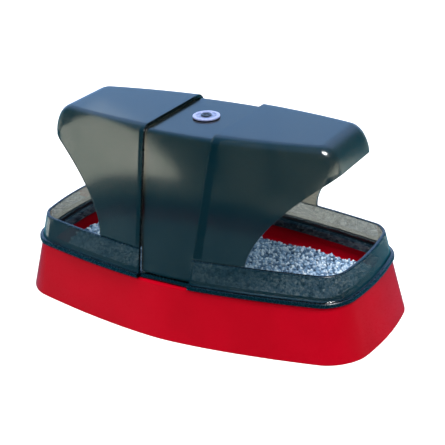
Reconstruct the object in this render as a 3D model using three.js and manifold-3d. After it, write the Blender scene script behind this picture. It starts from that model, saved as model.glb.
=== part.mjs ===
// Hooded litter tray for a hamster: a red tray with a flared skirt, a smoked collar plugged into
// its mouth, a band that arches over the middle, and two hood halves that drop over the band.
// Units are millimetres. +Z is up, +X runs along the tray, and the origin is the middle of the
// rectangle that the tray stands on.
import * as THREE from 'three';
import { mergeVertices } from 'three/addons/utils/BufferGeometryUtils.js';
import Module from 'manifold-3d';

const wasm = await Module();
wasm.setup();

// ---------------------------------------------------------------- driving dimensions

const GAP = 0.3; // running clearance between two pieces that rest on or plug into each other
const WALL = 1.5; // wall of the smoked mouldings

// Plan of the tray where it meets the table. The long sides and the ends both bow outwards.
const PLAN = {
  halfLength: 90,
  halfWidth: 48.4,
  sideBow: 14,
  endBow: 4.4,
  bowPower: 1.6,
  cornerRadius: 12.6,
};
const SKIRT_FLARE = { end: 7, side: 4.5 }; // how far the skirt spreads from its top to its foot

const TRAY = {
  height: 25.2,
  skirtWall: 1.8,
  edgeRound: 0.7,
  mouth: 3.6, // from the outer edge of the top to the mouth of the pan
  mouthDepth: 4.5, // how far the mouth drops straight down, to take the collar's plug
  panWall: 1.8,
  stepInset: 6.2, // a step round the pan, half way down its wall
  stepHeight: 15.5,
  floorInset: 12,
  floorTop: 5.5,
  floorThickness: 2,
};

const COLLAR = {
  seat: TRAY.height + GAP,
  flangeThickness: 2.1,
  lip: 1.2, // how far the flange stands out past the tray
  top: 38.3,
  lean: 3.1, // how far the wall leans in from the flange to its top
  ledge: 5.2, // from the outside of the tray to the inner edge of the flange
  plugWall: 1.3,
  plugDepth: 3.2,
};

const HOOD = {
  top: 90.8,
  crown: 25.8, // half width of the roof at the middle
  crownTaper: 10, // how much of it is lost at taperReach
  taperReach: 75,
  edgeRound: 4,
  lipTop: 63.5, // where the roof starts to turn down into the end lip
  lipReach: 72.5, // outermost point of the end lip
  lipFoot: 78.5,
  lipPower: 2,
  cornerRadius: 5,
  foot: 37.6, // half length of the hood where it stands on the collar
  flarePower: 1.66, // bend of the swept side edges
};

const BAND = {
  recess: WALL + GAP, // the band lies this far below the face of the hoods
  visibleTop: 17, // half width left between the hood halves, at the roof
  visibleFoot: 11.3, // the same at the tray
  lap: 3.2, // how far the band runs on under each hood half
};

const BADGE = { radius: 6.2, height: 0.8, sink: 0.4, sinkRadius: 4.7, ease: 0.2 };
const PEG = {
  head: 2.4, // radius of the head that sits sunk in the badge
  headHeight: 0.5,
  stem: 1.3,
  barb: 1.8,
  barbLength: 1.5,
};

const LITTER = { top: 17, slack: 0.4, mounding: 1.6 };

const QUARTER_STEPS = { side: 8, corner: 6, end: 3 };
const ROUND_STEPS = 4;
const EDGE_STEPS = 12;
const DISC_SIDES = 32;
const BEYOND = 120; // longer than the object, for cutting tools
const OVERLAP = 1; // how far a cutting tool runs past the face that it cuts
const BEND_WEIGHT = 0.75; // pull of a corner on its rounding: 0 cuts it off, more fills it out

const COLOURS = {
  red: 0xb30a22,
  smoke: 0x26343c,
  badge: 0xc3c8e0,
  peg: 0x20242e,
  litter: 0x5f7f9c,
};

// ---------------------------------------------------------------- solids and meshes

/** A closed three.js geometry as a manifold solid. */
function solid(geometry) {
  const bare = geometry.clone();
  bare.deleteAttribute('normal');
  bare.deleteAttribute('uv');
  const merged = mergeVertices(bare, 1e-4);
  const mesh = new wasm.Mesh({
    numProp: 3,
    vertProperties: new Float32Array(merged.attributes.position.array),
    triVerts: new Uint32Array(merged.index.array),
  });
  return new wasm.Manifold(mesh);
}

/** A manifold solid as a three.js geometry. */
function geometryOf(manifold) {
  const mesh = manifold.getMesh();
  const geometry = new THREE.BufferGeometry();
  geometry.setAttribute('position', new THREE.BufferAttribute(mesh.vertProperties, mesh.numProp));
  geometry.setIndex(new THREE.BufferAttribute(mesh.triVerts, 1));
  geometry.computeVertexNormals();
  return geometry;
}

/** A named mesh with a material of its own. */
function piece(name, geometry, finish) {
  const mesh = new THREE.Mesh(geometry, new THREE.MeshStandardMaterial(finish));
  mesh.name = name;
  return mesh;
}

/** Joins rings of points, bottom ring first and each anticlockwise from above, into a skin. */
function loft(rings, ringIsLoop = false) {
  const count = rings[0].length;
  const positions = rings.flat().flatMap((point) => point.toArray());
  const index = [];
  const at = (ring, k) => (ring % rings.length) * count + (k % count);
  const spans = ringIsLoop ? rings.length : rings.length - 1;
  for (let ring = 0; ring < spans; ring += 1) {
    for (let k = 0; k < count; k += 1) {
      index.push(at(ring, k), at(ring, k + 1), at(ring + 1, k + 1));
      index.push(at(ring, k), at(ring + 1, k + 1), at(ring + 1, k));
    }
  }
  if (!ringIsLoop) {
    const caps = [rings[0], rings[rings.length - 1]];
    caps.forEach((ring, end) => {
      const centre = ring.reduce((sum, p) => sum.add(p), new THREE.Vector3()).divideScalar(count);
      const hub = positions.push(...centre.toArray()) / 3 - 1;
      const base = end * (rings.length - 1) * count;
      for (let k = 0; k < count; k += 1) {
        const next = (k + 1) % count;
        index.push(hub, base + (end ? k : next), base + (end ? next : k));
      }
    });
  }
  const geometry = new THREE.BufferGeometry();
  geometry.setAttribute('position', new THREE.Float32BufferAttribute(positions, 3));
  geometry.setIndex(index);
  geometry.computeVertexNormals();
  return geometry;
}

/** A block that spans the given box. */
function block(min, max) {
  const size = max.map((value, axis) => value - min[axis]);
  const geometry = new THREE.BoxGeometry(...size);
  return geometry.translate(...max.map((value, axis) => (value + min[axis]) / 2));
}

/** A side profile of (x, z) points, extruded right across the object along Y. */
function acrossWidth(points) {
  const shape = new THREE.Shape(points.map(([x, z]) => new THREE.Vector2(x, z)));
  const geometry = new THREE.ExtrudeGeometry(shape, { depth: 2 * BEYOND, bevelEnabled: false });
  return geometry.rotateX(Math.PI / 2).translate(0, BEYOND, 0);
}

// ---------------------------------------------------------------- plan outlines

const mix = THREE.MathUtils.lerp;

/** Point at t on a rounded corner between two ends of the sides that meet at the corner. */
function cornerPoint(from, corner, to, t) {
  const pull = 2 * BEND_WEIGHT * t * (1 - t);
  const near = (1 - t) ** 2;
  const far = t ** 2;
  const weight = near + pull + far;
  return new THREE.Vector2(
    (near * from.x + pull * corner.x + far * to.x) / weight,
    (near * from.y + pull * corner.y + far * to.y) / weight,
  );
}

/** A closed outline, the same in all four quarters, from its side curve and its end curve. */
function outline({ corner, radius, sideAt, endAt }) {
  const quarter = [];
  const { side, corner: bends, end } = QUARTER_STEPS;
  const sideStop = corner.x - radius;
  const endStart = corner.y - radius;
  for (let k = 0; k <= end; k += 1) {
    const y = (endStart * k) / end;
    quarter.push(new THREE.Vector2(endAt(y), y));
  }
  const bendStart = quarter[quarter.length - 1];
  const bendStop = new THREE.Vector2(sideStop, sideAt(sideStop));
  for (let k = 1; k <= bends; k += 1) {
    quarter.push(cornerPoint(bendStart, corner, bendStop, k / bends));
  }
  for (let k = 1; k <= side; k += 1) {
    const x = sideStop * (1 - k / side);
    quarter.push(new THREE.Vector2(x, sideAt(x)));
  }
  const turn = (points, sx, sy) => points.map((p) => new THREE.Vector2(p.x * sx, p.y * sy));
  return [
    ...quarter.slice(0, -1),
    ...turn(quarter, -1, 1).reverse().slice(0, -1),
    ...turn(quarter, -1, -1).slice(0, -1),
    ...turn(quarter, 1, -1).reverse().slice(0, -1),
  ];
}

/** The tray's outline at the table. */
function footOutline() {
  const corner = new THREE.Vector2(PLAN.halfLength - PLAN.endBow, PLAN.halfWidth - PLAN.sideBow);
  return outline({
    corner,
    radius: PLAN.cornerRadius,
    sideAt: (x) => PLAN.halfWidth - PLAN.sideBow * (x / corner.x) ** PLAN.bowPower,
    endAt: (y) => PLAN.halfLength - PLAN.endBow * (y / corner.y) ** 2,
  });
}

/** An outline moved inwards, square to itself, by one amount at the ends and one at the sides. */
function inset(points, end, side = end) {
  return points.map((point, k) => {
    const before = points[(k + points.length - 1) % points.length];
    const after = points[(k + 1) % points.length];
    const along = after.clone().sub(before).normalize();
    const outward = new THREE.Vector2(along.y, -along.x);
    const amount = Math.hypot(outward.x * end, outward.y * side) * Math.sign(end + side);
    return point.clone().addScaledVector(outward, -amount);
  });
}

/** An outline lifted to a height. */
function ringAt(points, z) {
  return points.map((p) => new THREE.Vector3(p.x, p.y, z));
}

const FOOT = footOutline();
const SHOULDER = inset(FOOT, SKIRT_FLARE.end, SKIRT_FLARE.side); // the outline of the tray's top

/** Rings round the tray's top outline, from a section of [inset, height] points. */
function ringsRound(section) {
  return section.map(([amount, z]) => ringAt(inset(SHOULDER, amount), z));
}

// ---------------------------------------------------------------- red tray

/** The tray's outer face at a height, between its foot and its top, moved inwards by an amount. */
function skirtRing(z, amount) {
  const t = z / TRAY.height;
  const points = FOOT.map((foot, k) => foot.clone().lerp(SHOULDER[k], t));
  return ringAt(inset(points, amount), z);
}

/** One moulding: a flared skirt, open below, that carries the pan from its top edge. */
function tray() {
  const panTop = TRAY.height - TRAY.edgeRound;
  const underside = TRAY.floorTop - TRAY.floorThickness;
  const web = TRAY.height - TRAY.skirtWall;
  const section = [
    ...ringsRound([
      [TRAY.floorInset + TRAY.panWall, underside],
      [TRAY.floorInset, underside],
      [TRAY.stepInset, TRAY.stepHeight - TRAY.panWall],
      [TRAY.mouth, TRAY.stepHeight - TRAY.panWall],
      [TRAY.skirtWall + GAP, web],
    ]),
    skirtRing(web, TRAY.skirtWall),
    skirtRing(0, TRAY.skirtWall),
    skirtRing(0, TRAY.edgeRound / 2),
    skirtRing(TRAY.edgeRound / 2, 0),
    skirtRing(panTop, 0),
    ...ringsRound([
      [TRAY.edgeRound, TRAY.height],
      [TRAY.mouth, TRAY.height],
      [TRAY.mouth, TRAY.height - TRAY.mouthDepth],
      [TRAY.mouth + TRAY.panWall, TRAY.stepHeight],
      [TRAY.stepInset + TRAY.panWall, TRAY.stepHeight],
      [TRAY.floorInset + TRAY.panWall, TRAY.floorTop],
    ]),
  ];
  return loft(section);
}

// ---------------------------------------------------------------- walls of the cover

const collarHalfLength = PLAN.halfLength - SKIRT_FLARE.end - COLLAR.lean - PLAN.endBow;
const collarHalfWidth = PLAN.halfWidth - SKIRT_FLARE.side - COLLAR.lean;

/** Half width of the collar's top edge at x. */
function collarTopAt(x) {
  return collarHalfWidth - PLAN.sideBow * (Math.abs(x) / collarHalfLength) ** PLAN.bowPower;
}

/** Half width of the roof at x, if its edges were sharp. */
function roofAt(x) {
  return HOOD.crown - HOOD.crownTaper * (x / HOOD.taperReach) ** 2;
}

/** Half width of the cover at x and a height, on the hood or, below its foot, on the collar. */
function coverAt(x, z) {
  if (z < COLLAR.top) {
    const slope = COLLAR.lean / (COLLAR.top - COLLAR.seat);
    return collarTopAt(x) + slope * (COLLAR.top - z);
  }
  return mix(collarTopAt(x), roofAt(x), (z - COLLAR.top) / (HOOD.top - COLLAR.top));
}

/** How far the hood reaches along X at a height, for a skin that lies a depth below its face. */
function reachAt(z, depth) {
  const reach = HOOD.lipReach - depth;
  if (z <= HOOD.lipFoot) return reach;
  const rise = (z - HOOD.lipFoot) / (HOOD.top - depth - HOOD.lipFoot);
  const fall = Math.max(0, 1 - Math.min(1, rise) ** HOOD.lipPower) ** (1 / HOOD.lipPower);
  return mix(HOOD.lipTop, reach, fall);
}

/** Plan outline of the cover at a height, a depth below its face. */
function coverOutline(z, depth) {
  const roundFrom = HOOD.top - HOOD.edgeRound;
  const radius = HOOD.edgeRound - depth;
  const up = Math.max(0, z - roundFrom);
  const drawIn = HOOD.edgeRound - Math.sqrt(Math.max(0, radius ** 2 - up ** 2));
  const reach = reachAt(z, depth);
  const sideAt = (x) => coverAt(x, z) - drawIn;
  const bend = Math.max(HOOD.cornerRadius - depth, 1);
  return outline({
    corner: new THREE.Vector2(reach, sideAt(reach)),
    radius: bend,
    sideAt,
    endAt: () => reach,
  });
}

/** A solid filling the cover up to a depth below its face, from a height to its roof. */
function coverCore(depth, from) {
  const heights = [from];
  if (from < COLLAR.top) heights.push(COLLAR.top);
  heights.push(HOOD.lipFoot);
  const roundFrom = HOOD.top - HOOD.edgeRound;
  for (let k = 1; k <= ROUND_STEPS; k += 1) {
    heights.push(mix(HOOD.lipFoot, roundFrom, k / ROUND_STEPS));
  }
  for (let k = 1; k <= ROUND_STEPS; k += 1) {
    const angle = (Math.PI / 2) * (k / ROUND_STEPS);
    heights.push(roundFrom + (HOOD.edgeRound - depth) * Math.sin(angle));
  }
  return solid(loft(heights.map((z) => ringAt(coverOutline(z, depth), z))));
}

/** A wall of the cover between two depths below its face. */
function coverWall(outer, inner, from) {
  return coverCore(outer, from).subtract(coverCore(inner, from - OVERLAP));
}

/** Half width of the gap that the hood halves leave open over the band, at a height. */
function bandEdgeAt(z) {
  return mix(BAND.visibleFoot, BAND.visibleTop, z / HOOD.top);
}

// ---------------------------------------------------------------- smoked collar

/** A leaning wall on a flange, with a plug below that drops into the mouth of the pan. */
function collar() {
  const flangeTop = COLLAR.seat + COLLAR.flangeThickness;
  const plugFoot = COLLAR.seat - COLLAR.plugDepth;
  const plugOuter = COLLAR.ledge - COLLAR.plugWall;
  const wallFoot = COLLAR.lean * (COLLAR.flangeThickness / (COLLAR.top - COLLAR.seat));
  const section = [
    [-COLLAR.lip, COLLAR.seat],
    [-COLLAR.lip, flangeTop],
    [wallFoot, flangeTop],
    [COLLAR.lean, COLLAR.top],
    [COLLAR.lean + WALL, COLLAR.top],
    [wallFoot + WALL, flangeTop],
    [COLLAR.ledge, flangeTop],
    [COLLAR.ledge, plugFoot],
    [plugOuter, plugFoot],
    [plugOuter, COLLAR.seat],
  ];
  const ring = solid(loft(ringsRound(section), true));
  return geometryOf(notches().reduce((left, notch) => left.subtract(notch), ring));
}

/** The room that each foot of the band takes out of the collar. */
function notches() {
  const flangeTop = COLLAR.seat + COLLAR.flangeThickness;
  const bridge = collarTopAt(0) + COLLAR.lean - BAND.recess;
  const window = acrossWidth([
    [-bandEdgeAt(COLLAR.seat), COLLAR.seat - GAP],
    [bandEdgeAt(COLLAR.seat), COLLAR.seat - GAP],
    [bandEdgeAt(COLLAR.top), COLLAR.top + OVERLAP],
    [-bandEdgeAt(COLLAR.top), COLLAR.top + OVERLAP],
  ]);
  return [1, -1].map((side) => {
    const slab = (inner, low) => {
      const [near, far] = side > 0 ? [inner, BEYOND] : [-BEYOND, -inner];
      return solid(block([-BEYOND, near, low], [BEYOND, far, BEYOND]));
    };
    return solid(window).intersect(slab(0, flangeTop).add(slab(bridge, 0)));
  });
}

// ---------------------------------------------------------------- centre band

/** An arch over the middle whose feet stand in the collar's notches. */
function band() {
  const low = COLLAR.seat + COLLAR.flangeThickness + GAP;
  const wall = coverWall(BAND.recess, BAND.recess + WALL, low);
  const reachTop = bandEdgeAt(HOOD.top) + BAND.lap;
  const reachFoot = bandEdgeAt(COLLAR.top) + BAND.lap;
  const above = acrossWidth([
    [-reachFoot, COLLAR.top + GAP],
    [reachFoot, COLLAR.top + GAP],
    [reachTop, HOOD.top + OVERLAP],
    [-reachTop, HOOD.top + OVERLAP],
  ]);
  const below = acrossWidth([
    [GAP - bandEdgeAt(low), low - OVERLAP],
    [bandEdgeAt(low) - GAP, low - OVERLAP],
    [bandEdgeAt(COLLAR.top) - GAP, COLLAR.top + OVERLAP],
    [GAP - bandEdgeAt(COLLAR.top), COLLAR.top + OVERLAP],
  ]);
  const arch = wall.intersect(solid(above).add(solid(below)));
  return geometryOf(arch.subtract(solid(rod(PEG.stem + GAP, BEYOND))));
}

// ---------------------------------------------------------------- hood halves

/** Side profile of one hood half: band edge, swept lower edge, end lip and roof. */
function hoodProfile() {
  const low = COLLAR.top + GAP;
  const points = [[bandEdgeAt(low) + GAP / 2, low]];
  for (let k = 0; k <= EDGE_STEPS; k += 1) {
    const t = k / EDGE_STEPS;
    points.push([
      mix(HOOD.foot, HOOD.lipReach, t ** HOOD.flarePower),
      mix(low, HOOD.lipFoot, t),
    ]);
  }
  points.push([BEYOND, HOOD.lipFoot], [BEYOND, HOOD.top + OVERLAP]);
  points.push([bandEdgeAt(HOOD.top) + GAP / 2, HOOD.top + OVERLAP]);
  return points;
}

/** A hood half that stands towards +X. */
function hoodHalf() {
  const wall = coverWall(0, WALL, COLLAR.top - OVERLAP);
  return wall.intersect(solid(acrossWidth(hoodProfile())));
}

// ---------------------------------------------------------------- badge and peg

/** A solid of revolution about Z, from [radius, height] points in order up its section. */
function turned(section) {
  const points = section.map(([radius, z]) => new THREE.Vector2(radius, z));
  return new THREE.LatheGeometry(points, DISC_SIDES).rotateX(Math.PI / 2);
}

/** A rod along Z that rises from the origin, for cutting a hole. */
function rod(radius, length) {
  const geometry = new THREE.CylinderGeometry(radius, radius, length, DISC_SIDES);
  return geometry.rotateX(Math.PI / 2).translate(0, 0, length / 2);
}

/** A round badge with eased edges, holed for the peg's stem and sunk for its head. */
function badgeRing() {
  const { radius, height, sink, sinkRadius, ease } = BADGE;
  const hole = PEG.stem + GAP;
  return turned([
    [hole, 0],
    [radius, 0],
    [radius, height - ease],
    [radius - ease, height],
    [sinkRadius + ease, height],
    [sinkRadius, height - ease],
    [sinkRadius, height - sink],
    [hole, height - sink],
    [hole, 0],
  ]);
}

/** A push-in peg: a domed head in the badge, a stem through the band and a barb below it. */
function badgePeg() {
  const seat = BADGE.height - BADGE.sink + GAP;
  const grip = -(GAP + WALL + GAP);
  return turned([
    [0, grip - PEG.barbLength],
    [PEG.stem / 2, grip - PEG.barbLength],
    [PEG.barb, grip],
    [PEG.stem, grip],
    [PEG.stem, seat],
    [PEG.head, seat],
    [PEG.head, seat + PEG.headHeight / 2],
    [PEG.head - PEG.headHeight / 2, seat + PEG.headHeight],
    [0, seat + PEG.headHeight],
  ]);
}

// ---------------------------------------------------------------- litter

/** Loose litter, filling the pan to below the collar, a little heaped towards the middle. */
function litter() {
  const { top, slack, mounding } = LITTER;
  const wall = TRAY.floorInset + TRAY.panWall + slack;
  const step = TRAY.stepInset + TRAY.panWall + slack;
  const rings = ringsRound([
    [wall, TRAY.floorTop + slack],
    [step, TRAY.stepHeight - slack],
    [step, top - mounding],
    [step + mounding, top - mounding / 2],
    [step + PLAN.cornerRadius, top],
  ]);
  return loft(rings);
}

// ---------------------------------------------------------------- assembly

const SMOKE = { color: COLOURS.smoke, roughness: 0.22, metalness: 0 };
const bandTop = HOOD.top - BAND.recess;

const object = new THREE.Group();
object.add(piece('tray', tray(), { color: COLOURS.red, roughness: 0.3, metalness: 0 }));
object.add(piece('litter', litter(), { color: COLOURS.litter, roughness: 0.95, metalness: 0 }));
object.add(piece('collar', collar(), SMOKE));
object.add(piece('centre_band', band(), SMOKE));

const rightHood = hoodHalf();
object.add(piece('right_hood', geometryOf(rightHood), SMOKE));
object.add(piece('left_hood', geometryOf(rightHood.rotate([0, 0, 180])), SMOKE));

const badge = new THREE.Group();
badge.position.z = bandTop + GAP;
badge.add(piece('badge_ring', badgeRing(), { color: COLOURS.badge, roughness: 0.4, metalness: 0 }));
badge.add(piece('badge_peg', badgePeg(), { color: COLOURS.peg, roughness: 0.35, metalness: 0 }));
object.add(badge);

export default object;
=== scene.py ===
"""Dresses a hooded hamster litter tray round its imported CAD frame.

A red tray with a flared skirt holds loose litter. A smoked see-through collar stands in its mouth,
a band arches over the middle, and two hood halves lie over the band. Lengths are millimetres in
the classes below, and become metres where a mesh is made. +X runs along the tray and +Z is up.
"""

import logging
import math
from collections.abc import Callable, Iterable, Sequence
from dataclasses import dataclass, field
from enum import Enum

import bmesh
import bpy
import numpy as np
from mathutils import Matrix, Vector


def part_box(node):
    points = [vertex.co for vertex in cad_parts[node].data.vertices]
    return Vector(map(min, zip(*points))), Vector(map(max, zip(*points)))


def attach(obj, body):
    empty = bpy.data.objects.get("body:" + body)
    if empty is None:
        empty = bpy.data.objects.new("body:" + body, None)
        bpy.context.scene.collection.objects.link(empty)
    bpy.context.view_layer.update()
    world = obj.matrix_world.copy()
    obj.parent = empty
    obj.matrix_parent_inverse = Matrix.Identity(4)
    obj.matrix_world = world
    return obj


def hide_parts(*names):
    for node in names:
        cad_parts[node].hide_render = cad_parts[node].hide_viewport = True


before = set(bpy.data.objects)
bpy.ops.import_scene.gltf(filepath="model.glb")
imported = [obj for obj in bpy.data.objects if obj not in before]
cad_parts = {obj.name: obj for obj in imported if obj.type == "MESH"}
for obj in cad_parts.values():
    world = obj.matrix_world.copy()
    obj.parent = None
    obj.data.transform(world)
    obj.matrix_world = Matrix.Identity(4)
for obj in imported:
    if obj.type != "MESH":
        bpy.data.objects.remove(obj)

log = logging.getLogger("litter_tray")

MM = 0.001  # one millimetre in the scene's metres
GAP = 0.3  # clearance between pieces that rest on each other
PAINTED_SHADE_SLOT = 1  # material number of the faces that get a painted-shade finish: a wall's cut edges and the badge's sunk floor
SIDE_SHARE = 0.45  # the most of a side that a section's rounded corner takes
CORNER_PULL = 1.5  # how hard an outline's round corner is drawn to its point
SHARP = math.radians(40)  # edges that turn by more than this stay crisp
EASED = (0.1, 0.05)  # what the tray's eased foot takes off its half length and half width

Tree = bpy.types.NodeTree
Socket = bpy.types.NodeSocket
Faces = list[tuple[int, ...]]
Section = list[tuple[float, ...]]
Colour = tuple[float, float, float, float]


# ------------------------------------------------------------------------------ small helpers


def linear(hex_code: str) -> Colour:
    """Turns an sRGB hex colour into linear light.

    Args:
        hex_code: Six hex digits, such as "b4051e".

    Returns:
        Red, green, blue and an alpha of 1.
    """
    parts = (int(hex_code[k : k + 2], 16) / 255 for k in (0, 2, 4))
    r, g, b = (v / 12.92 if v <= 0.04045 else ((v + 0.055) / 1.055) ** 2.4 for v in parts)
    return (r, g, b, 1.0)


def mix(a: float, b: float, t: float) -> float:
    """Returns the value a share t of the way from a to b."""
    return a + (b - a) * t


def size_of(node: str) -> tuple[np.ndarray, np.ndarray]:
    """Returns a CAD node's lowest and highest corner in millimetres."""
    low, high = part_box(node)
    return np.array(low) / MM, np.array(high) / MM


def as_object(name: str, points: np.ndarray, faces: Faces) -> bpy.types.Object:
    """Makes a smooth-shaded mesh object.

    Args:
        name: The piece's name.
        points: Vertices in millimetres, one row each.
        faces: Vertex numbers of each face, anticlockwise from outside.

    Returns:
        The new object, linked to the scene.
    """
    mesh = bpy.data.meshes.new(name)
    mesh.from_pydata((np.asarray(points, float) * MM).tolist(), [], faces)
    mesh.validate()
    mesh.polygons.foreach_set("use_smooth", [True] * len(mesh.polygons))
    made = bpy.data.objects.new(name, mesh)
    bpy.context.scene.collection.objects.link(made)
    return made


def modifier(target: bpy.types.Object, kind: str, **settings: object) -> bpy.types.Modifier:
    """Adds a modifier to an object and sets its values.

    Args:
        target: The object.
        kind: Blender's name for the kind of modifier.
        **settings: Values by property name.

    Returns:
        The new modifier.
    """
    added = target.modifiers.new(kind.title(), kind)
    for key, value in settings.items():
        setattr(added, key, value)
    return added


def baked(target: bpy.types.Object) -> bpy.types.Object:
    """Applies an object's modifiers to its own mesh.

    Args:
        target: The object.

    Returns:
        The same object, with no modifiers left.
    """
    graph = bpy.context.evaluated_depsgraph_get()
    mesh = bpy.data.meshes.new_from_object(target.evaluated_get(graph))
    target.modifiers.clear()
    target.data = mesh
    return target


def evened(target: bpy.types.Object, **settings: object) -> bpy.types.Object:
    """Weights the normals by face size, so that flats look flat, and applies all modifiers."""
    modifier(target, "WEIGHTED_NORMAL", weight=100, **settings)
    return baked(target)


def without(target: bpy.types.Object, cutter: bpy.types.Object) -> bpy.types.Object:
    """Cuts one closed mesh out of another and removes the cutter.

    Args:
        target: What is cut.
        cutter: What is cut away, which is then removed.

    Returns:
        The same target.
    """
    modifier(target, "BOOLEAN", operation="DIFFERENCE", object=cutter, solver="EXACT")
    baked(target)
    bpy.data.objects.remove(cutter)
    return target


def loft(rings: Sequence[np.ndarray], loop: bool = False) -> tuple[np.ndarray, Faces]:
    """Skins a run of rings with quads.

    Args:
        rings: Closed rings with as many points each, anticlockwise from above, lowest first.
        loop: True if the last ring joins the first, and otherwise both ends are capped.

    Returns:
        The points and the faces.
    """
    count = len(rings[0])
    spans = len(rings) if loop else len(rings) - 1
    faces: Faces = []
    for row in range(spans):
        low, high = row * count, (row + 1) % len(rings) * count
        for k in range(count):
            after = (k + 1) % count
            faces.append((low + k, low + after, high + after, high + k))
    if not loop:
        top = (len(rings) - 1) * count
        faces.append(tuple(reversed(range(count))))
        faces.append(tuple(range(top, top + count)))
    return np.vstack(rings), faces


def rounded(section: Sequence[tuple[float, ...]], loop: bool, steps: int = 5) -> Section:
    """Rounds the corners of a section.

    Args:
        section: Points as (inset, height, radius, flare), where flare is carried along unchanged.
        loop: True if the section closes on itself.
        steps: How many straight pieces each rounded corner gets.

    Returns:
        Points as (inset, height, flare).
    """
    made: Section = []
    last = len(section) - 1
    for k, (a, z, radius, flare) in enumerate(section):
        if radius == 0 or (not loop and k in (0, last)):
            made.append((a, z, flare))
            continue
        here = np.array((a, z))
        before = np.array(section[k - 1][:2]) - here
        after = np.array(section[(k + 1) % len(section)][:2]) - here
        reach = min(radius, SIDE_SHARE * np.linalg.norm(before), SIDE_SHARE * np.linalg.norm(after))
        start = here + before / np.linalg.norm(before) * reach
        stop = here + after / np.linalg.norm(after) * reach
        for t in np.linspace(0, 1, steps + 1):
            point = (1 - t) ** 2 * start + 2 * t * (1 - t) * here + t**2 * stop
            made.append((point[0], point[1], flare))
    return made


# ------------------------------------------------------------------------------ outlines


@dataclass(frozen=True)
class Steps:
    """How finely a quarter of an outline is drawn."""

    side: int = 36
    corner: int = 14
    end: int = 10


@dataclass(frozen=True)
class Plan:
    """The outline that the tray, its collar and its litter share, seen from above.

    The long sides and the ends bow outwards and meet at rounded corners.
    """

    half_length: float
    half_width: float
    side_bow: float = 14.0
    end_bow: float = 4.4
    bow_power: float = 1.6
    corner_radius: float = 12.6
    flare_end: float = 7.0
    flare_side: float = 4.5
    steps: Steps = Steps()

    def side_at(self, x: float) -> float:
        """Returns the half width at x, before the corner is rounded."""
        reach = self.half_length - self.end_bow
        return self.half_width - self.side_bow * (abs(x) / reach) ** self.bow_power

    def end_at(self, y: float) -> float:
        """Returns the half length at y, before the corner is rounded."""
        reach = self.half_width - self.side_bow
        return self.half_length - self.end_bow * (y / reach) ** 2

    def foot(self) -> np.ndarray:
        """Returns the outline that stands on the table."""
        corner = (self.half_length - self.end_bow, self.half_width - self.side_bow)
        return closed_outline(corner, self.corner_radius, self.side_at, self.end_at, self.steps)

    def shoulder(self) -> np.ndarray:
        """Returns the outline of the tray's top edge."""
        return drawn_in(self.foot(), self.flare_end, self.flare_side)

    def rings(self, section: Iterable[tuple[float, ...]]) -> list[np.ndarray]:
        """Turns a section into rings.

        Args:
            section: Points as (inset from the top edge, height, share of the skirt's flare).

        Returns:
            One ring of points for each.
        """
        foot, shoulder = self.foot(), self.shoulder()
        made = []
        for amount, z, flare in section:
            ring = drawn_in(mix(shoulder, foot, flare), amount, amount)
            made.append(np.column_stack([ring, np.full(len(ring), z)]))
        return made


def bend(start: np.ndarray, corner: np.ndarray, stop: np.ndarray, t: float) -> np.ndarray:
    """Returns the point at t on a round corner between two points on its sides."""
    near, pull, far = (1 - t) ** 2, CORNER_PULL * t * (1 - t), t**2
    return (near * start + pull * corner + far * stop) / (near + pull + far)


def closed_outline(
    corner: tuple[float, float],
    radius: float,
    side_at: Callable[[float], float],
    end_at: Callable[[float], float],
    steps: Steps,
) -> np.ndarray:
    """Draws an outline that is the same in all four quarters.

    Args:
        corner: Where a side and an end would meet.
        radius: How far from there each is cut off for the round corner.
        side_at: Half width at x.
        end_at: Half length at y.
        steps: How finely it is drawn.

    Returns:
        Points anticlockwise from the middle of the +X end.
    """
    stop_x, start_y = corner[0] - radius, corner[1] - radius
    ends = [(end_at(y), y) for y in np.linspace(0, start_y, steps.end + 1)]
    first, last = np.array(ends[-1]), np.array((stop_x, side_at(stop_x)))
    turns = [bend(first, np.array(corner), last, k / steps.corner) for k in range(1, steps.corner)]
    sides = [(x, side_at(x)) for x in np.linspace(stop_x, 0, steps.side + 1)]
    quarter = np.array([*ends, *turns, *sides])
    quarters = [
        quarter[:-1],
        (quarter * (-1, 1))[::-1][:-1],
        (quarter * (-1, -1))[:-1],
        (quarter * (1, -1))[::-1][:-1],
    ]
    return np.vstack(quarters)


def drawn_in(points: np.ndarray, end: float, side: float) -> np.ndarray:
    """Moves an outline inwards, square to itself.

    Args:
        points: The outline, anticlockwise.
        end: How far at the ends. A negative value moves it outwards.
        side: How far at the sides.

    Returns:
        The moved outline.
    """
    along = np.roll(points, -1, 0) - np.roll(points, 1, 0)
    along /= np.linalg.norm(along, axis=1)[:, None]
    outward = np.column_stack([along[:, 1], -along[:, 0]])
    amount = np.hypot(outward[:, 0] * end, outward[:, 1] * side) * math.copysign(1, end + side)
    return points - outward * amount[:, None]


# ------------------------------------------------------------------------------ finishes


def add(tree: Tree, kind: str, *, links: dict | None = None, **values: object) -> bpy.types.Node:
    """Adds a node with its settings and its links.

    Args:
        tree: The node tree.
        kind: Blender's name of the node type.
        links: Output sockets by the name or number of the input that they feed.
        **values: Settings by property name, or input values by name with _ for a space.

    Returns:
        The new node.
    """
    node = tree.nodes.new(kind)
    inputs = {socket.name.replace(" ", "_"): socket for socket in reversed(node.inputs)}
    for key, value in values.items():
        if key in inputs:
            inputs[key].default_value = value
        else:
            setattr(node, key, value)
    for key, source in (links or {}).items():
        tree.links.new(source, node.inputs[key])
    return node


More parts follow.
